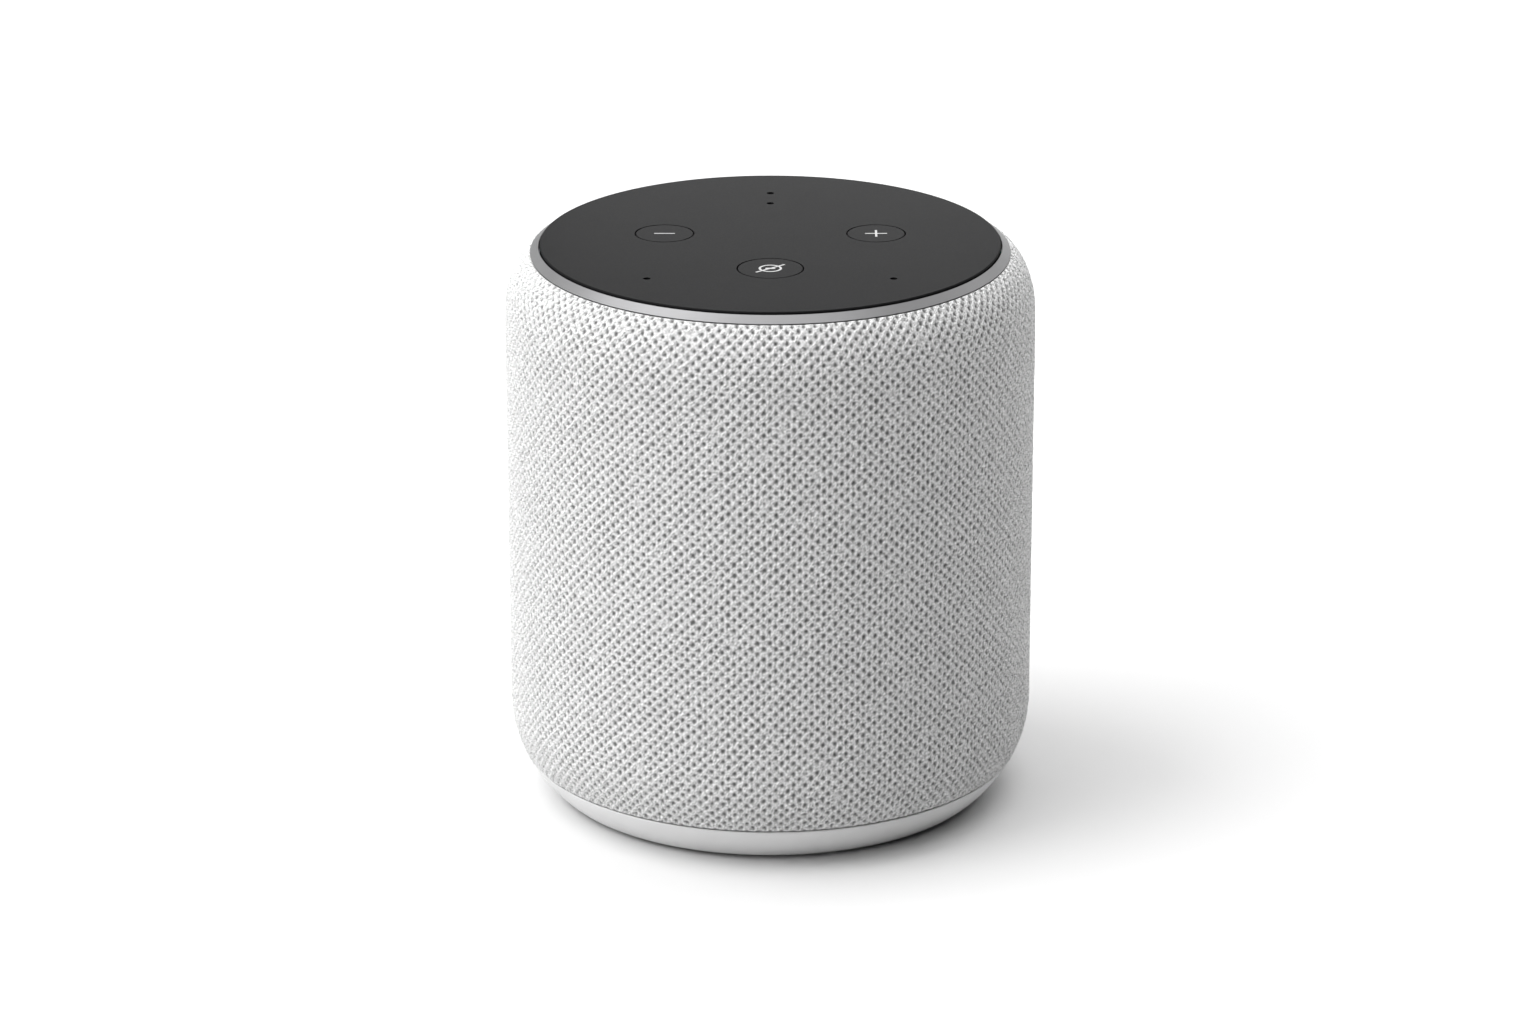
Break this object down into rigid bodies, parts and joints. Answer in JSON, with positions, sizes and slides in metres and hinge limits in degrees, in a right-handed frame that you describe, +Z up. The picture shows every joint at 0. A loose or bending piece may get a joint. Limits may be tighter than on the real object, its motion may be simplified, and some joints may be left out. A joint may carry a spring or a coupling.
{
  "type": "smart speaker",
  "caption": "Round fabric-covered smart speaker with a dark top panel, push buttons, a metal trim ring and a downward-firing woofer.",
  "frame": {"origin": "centre of the underside, on the table", "axes": "+Z up through the top panel; -Y is the front, where the mute button is; +Y the sockets"},
  "size_m": [0.12, 0.12, 0.13],
  "materials": {
    "top_panel": "fine matte moulded",
    "button_cap": "fine matte moulded",
    "legend_dim": "satin moulded",
    "legend_bright": "satin moulded",
    "trim": "satin anodised",
    "diffuser": "frosted translucent",
    "led": "clear resin",
    "fabric": "open knitted polyester",
    "base": "satin moulded",
    "dark_plastic": "moulded",
    "grille": "moulded",
    "rubber": "matte",
    "foam": "closed-cell foam",
    "circuit_board": "solder-masked laminate",
    "tin_plate": "tin plated",
    "gold": "gold plated",
    "screw_steel": "nickel plated",
    "spreader": "mill finish",
    "thermal_pad": "soft silicone",
    "connector": "nylon",
    "capacitor": "sleeved can",
    "ribbon": "polyimide film",
    "ferrite": "ground ferrite",
    "magnet_steel": "zinc plated",
    "surround": "butyl",
    "spider": "resin-treated cloth",
    "paper_cone": "coated pulp",
    "copper": "enamelled copper wire",
    "dome": "coated silk",
    "red_wire": "PVC insulated",
    "black_wire": "PVC insulated",
    "white_plastic": "acetal"
  },
  "bodies": {
    "speaker": {"top_cover": "top_panel", "trim_ring": "trim", "light_guide": "diffuser", "light_leds": "led", "top_frame": "dark_plastic", "button_board": "circuit_board", "mic_capsules": "gold", "mic_gaskets": "rubber", "switch_bodies": "dark_plastic", "board_screws": "screw_steel", "main_board": "circuit_board", "shield_can": "tin_plate", "thermal_pad": "thermal_pad", "heat_spreader": "spreader", "board_connectors": "connector", "board_capacitors": "capacitor", "ribbon_cable": "ribbon", "enclosure": "dark_plastic", "enclosure_lid": "dark_plastic", "lid_gasket": "foam", "lid_screws": "screw_steel", "cable_grommets": "rubber", "woofer_basket": "dark_plastic", "woofer_gasket": "foam", "woofer_top_plate": "magnet_steel", "woofer_magnet": "ferrite", "woofer_yoke": "magnet_steel", "woofer_surround": "surround", "woofer_spider": "spider", "driver_screws": "screw_steel", "driver_leads": "red_wire", "tweeter_frame": "dark_plastic", "tweeter_magnet": "ferrite", "sound_deflector": "dark_plastic", "grille_shell": "grille", "fabric_sleeve": "fabric", "base_ring": "base", "base_plate": "dark_plastic", "rubber_foot": "rubber", "base_screws": "screw_steel", "port_bezel": "dark_plastic", "socket_board": "circuit_board", "power_socket": "dark_plastic", "power_socket_pin": "gold", "audio_socket": "dark_plastic", "power_leads": "black_wire"},
    "volume_down_button": {"volume_down_cap": "button_cap", "minus_legend": "legend_dim", "volume_down_plunger": "white_plastic"},
    "volume_up_button": {"volume_up_cap": "button_cap", "plus_legend": "legend_bright", "volume_up_plunger": "white_plastic"},
    "mute_button": {"mute_cap": "button_cap", "mute_legend": "legend_bright", "mute_plunger": "white_plastic"},
    "woofer_piston": {"woofer_cone": "paper_cone", "woofer_dust_cap": "paper_cone", "voice_coil": "copper"},
    "tweeter_piston": {"tweeter_dome": "dome"}
  },
  "joints": [
    {"name": "volume_down_press", "type": "slide", "parent": "speaker", "child": "volume_down_button", "axis": [0, 0, -1], "range_m": [0, 0.0005], "stiffness_N_per_m": 1200},
    {"name": "volume_up_press", "type": "slide", "parent": "speaker", "child": "volume_up_button", "axis": [0, 0, -1], "range_m": [0, 0.0005], "stiffness_N_per_m": 1200},
    {"name": "mute_press", "type": "slide", "parent": "speaker", "child": "mute_button", "axis": [0, 0, -1], "range_m": [0, 0.0005], "stiffness_N_per_m": 1200},
    {"name": "woofer_stroke", "type": "slide", "parent": "speaker", "child": "woofer_piston", "axis": [0, 0, 1], "range_m": [-0.0035, 0.0035], "stiffness_N_per_m": 1500, "deforming": ["woofer_surround", "woofer_spider"]},
    {"name": "tweeter_stroke", "type": "slide", "parent": "speaker", "child": "tweeter_piston", "axis": [0, -1, 0], "range_m": [-0.0003, 0.0003], "stiffness_N_per_m": 800}
  ]
}
